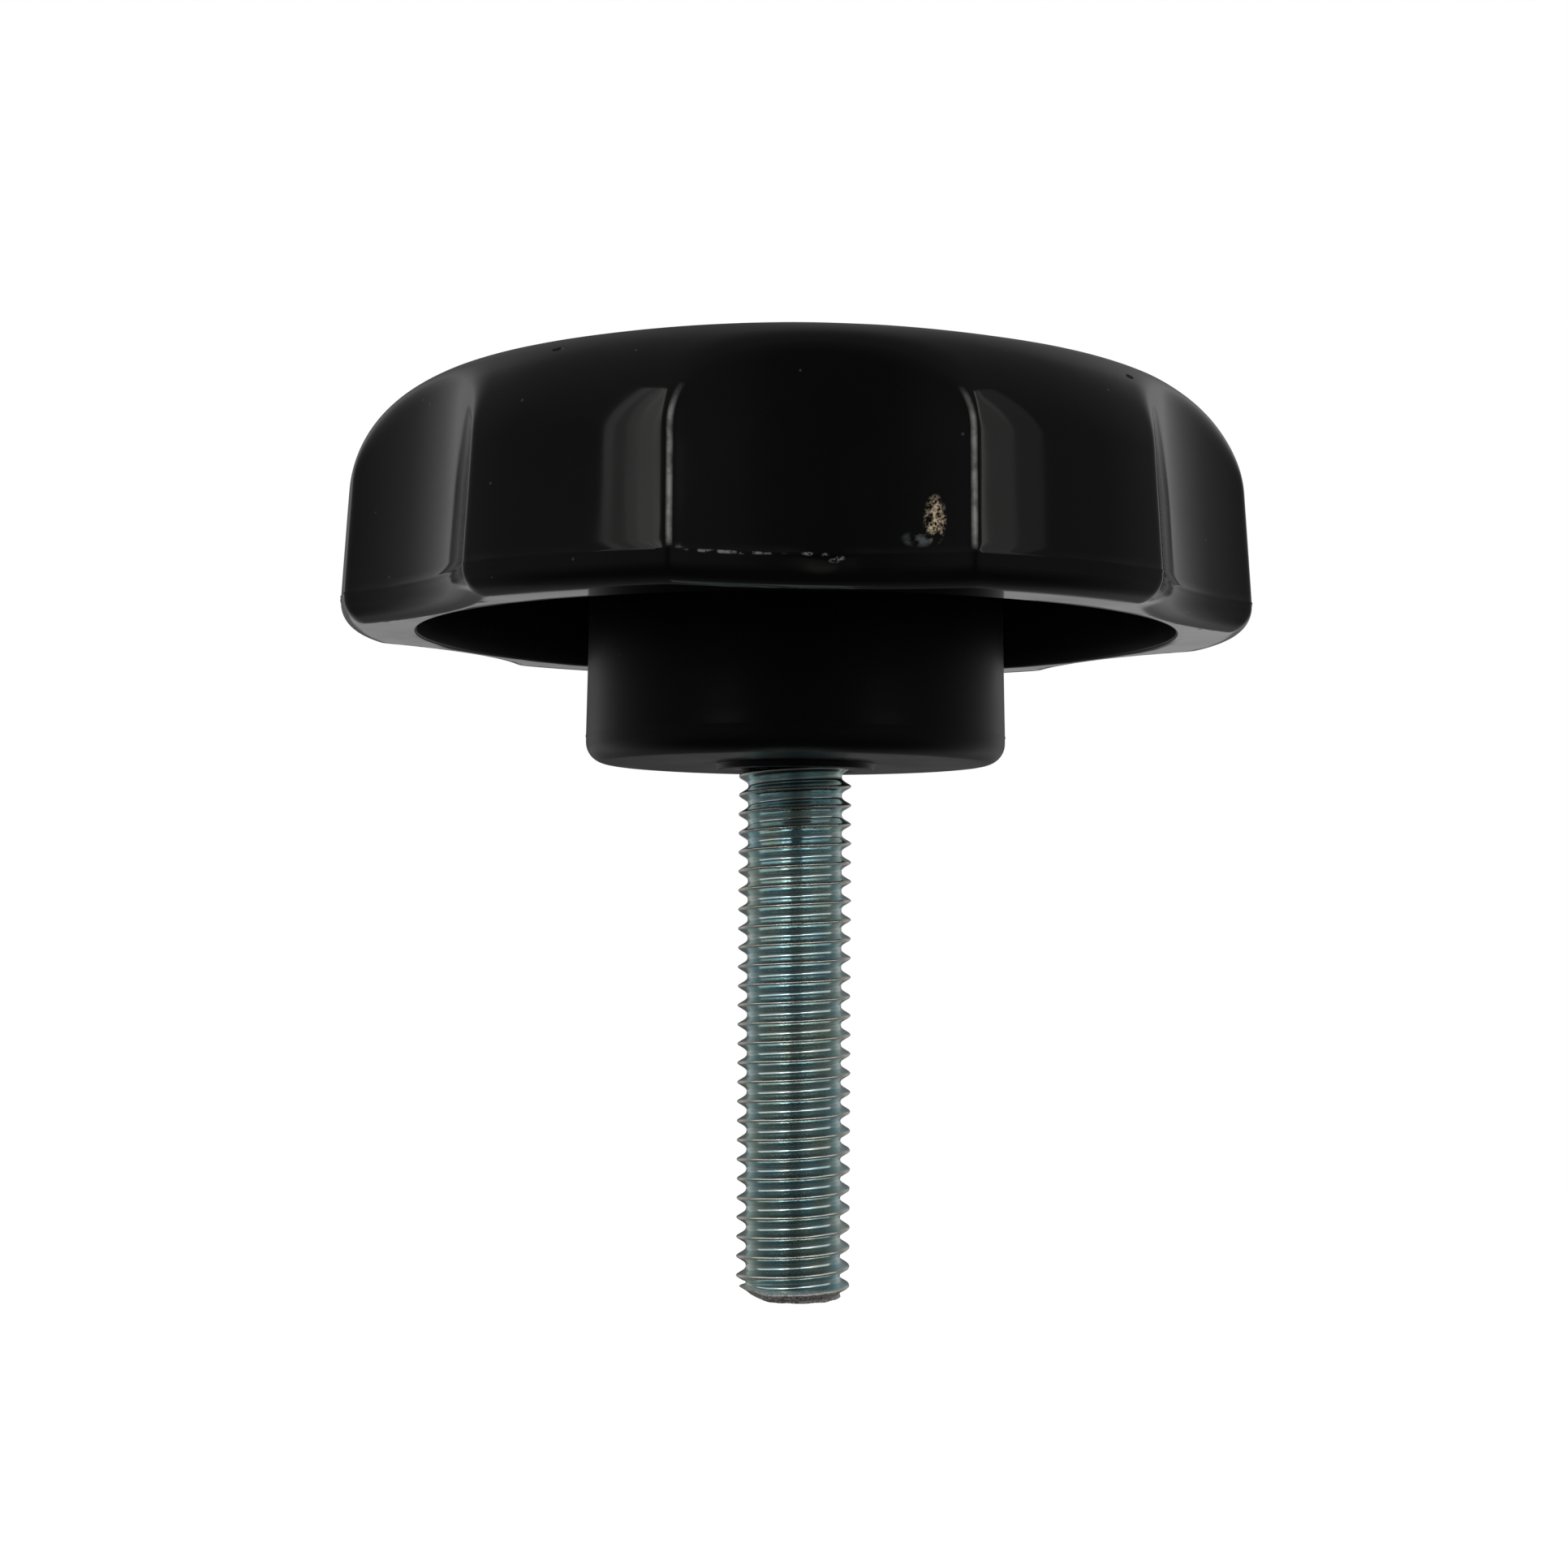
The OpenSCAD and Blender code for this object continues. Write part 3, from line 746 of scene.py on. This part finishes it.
levels = add(room, "ShaderNodeValToRGB", [add(room, MATHS, [aside, pi], operation="DIVIDE")])
stops = levels.color_ramp.elements
for bearing, _ in ROOM_LEVELS[1:-1]:
    stops.new(bearing / 180)
for stop, (_, level) in zip(stops, ROOM_LEVELS):
    stop.color = (level, level, level, 1.0)
below = add(room, RANGE, [y, 0.0, 0.5, *GROUND_LEVELS])
above = add(room, MATHS, [z, 0.0], operation="GREATER_THAN")
far = add(room, MIX, {0: above, 2: below, 3: CEILING_LEVEL}, data_type="FLOAT")
steep = add(room, RANGE, [add(room, MATHS, [z], operation="ABSOLUTE"), *STEEP, 0.0, 1.0])
mirrored = add(room, MIX, {0: steep, 2: levels, 3: far}, data_type="FLOAT")
table = add(room, MATHS, [add(room, RANGE, [z, *TABLE_BOTTOM, 0.0, TABLE_LEVEL]),
                          add(room, RANGE, [z, *TABLE_TOP, 1.0, 0.0])], operation="MULTIPLY")
behind = add(room, RANGE, [y, *BEHIND, 0.0, 1.0])
mirrored = add(room, MATHS, [table, behind, mirrored], operation="MULTIPLY_ADD")
path = add(room, "ShaderNodeLightPath").outputs
strength = add(room, MIX, {0: path["Is Glossy Ray"], 2: PLAIN_LEVEL, 3: mirrored}, data_type="FLOAT")
clear = add(room, MATHS, [path["Is Camera Ray"], path["Is Transmission Ray"]], operation="MAXIMUM")
strength = add(room, MIX, {0: clear, 2: strength, 3: 1.0}, data_type="FLOAT")
light = add(room, "ShaderNodeBackground", {"Strength": strength, "Color": linear("#ffffff")})
add(room, "ShaderNodeOutputWorld", [light])
print("room:", len(stops), "levels round the knob")


# %% [markdown]
# Upright soft boxes left and right of the lens draw the light stripes on the lobes. A lamp is given by its bearing from
# the lens, how wide it looks from the knob, both in degrees, and how bright it looks.

# %% Soft boxes
def soft_box(name, azimuth, elevation, distance, spread, radiance):
    """A soft box that faces the knob, at a bearing from the lens, with its spread and brightness as seen there."""
    data = bpy.data.lights.new(name, "AREA")
    data.shape = "RECTANGLE"
    data.size, data.size_y = (2 * distance * tan(radians(angle / 2)) for angle in spread)
    data.energy = radiance * pi * data.size * data.size_y
    lamp = bpy.data.objects.new(name, data)
    bpy.context.scene.collection.objects.link(lamp)
    bearing, rise = CAMERA_BEARING + radians(azimuth), radians(elevation)
    aim = Vector((cos(bearing) * cos(rise), sin(bearing) * cos(rise), sin(rise)))
    lamp.location = aim * distance
    lamp.rotation_euler = aim.to_track_quat("Z", "Y").to_euler()
    print(name, "power", round(data.energy, 2), "W")
    return lamp


HEAD_LAMP_ELEVATION = 30
HEAD_LAMP_HEIGHT = 38
HEAD_LAMP_DISTANCE = 0.9
head_lamps = [("left_edge", -46, 2.5, 0.5), ("left_outer", -43, 3.5, 0.27), ("left_middle", -39.7, 3, 0.52),
              ("left_inner", -36.2, 4, 0.72), ("left_rim", -33.2, 2, 0.9), ("right_strip", 44, 3, 1.0),
              ("right_outer", 49.5, 8, 0.36), ("right_far", 57.5, 8, 0.15)]
for name, azimuth, width, radiance in head_lamps:
    soft_box(name, azimuth, HEAD_LAMP_ELEVATION, HEAD_LAMP_DISTANCE, (width, HEAD_LAMP_HEIGHT), radiance)

# %% [markdown]
# The stud is bright, and only its first threads lie in the shade of the hub, so its light comes from above. The
# polished plastic would mirror lamps that bright. So these lamps are linked to the stud alone: five stand 25 degrees up
# or more, where the hub still shades the first threads, and three faint level ones fill in.

# %% Lamps of the stud
STUD_LAMP_DISTANCE = 0.85
lit_stud = bpy.data.collections.new("lit_stud")
lit_stud.objects.link(stud)
stud_lamps = [("stud_left", -22, -2, (28, 12), 0.06), ("stud_right", 31, -2, (30, 12), 0.05),
              ("stud_centre", 4, -2, (24, 12), 0.03), ("stud_left_high", -24, 25, (20, 9), 5.0),
              ("stud_right_high", 30, 25, (22, 9), 3.0), ("stud_crests", 2, 32, (64, 9), 1.9),
              ("stud_left_side", -70, 32, (60, 50), 0.6), ("stud_right_side", 72, 32, (60, 50), 0.55)]
for name, azimuth, elevation, spread, radiance in stud_lamps:
    lamp = soft_box(name, azimuth, elevation, STUD_LAMP_DISTANCE, spread, radiance)
    lamp.light_linking.receiver_collection = lit_stud

# %% [markdown]
# ## Finish
# The picture is shown as it is, with no film look.

# %% Finish
bpy.context.scene.view_settings.view_transform = "Standard"
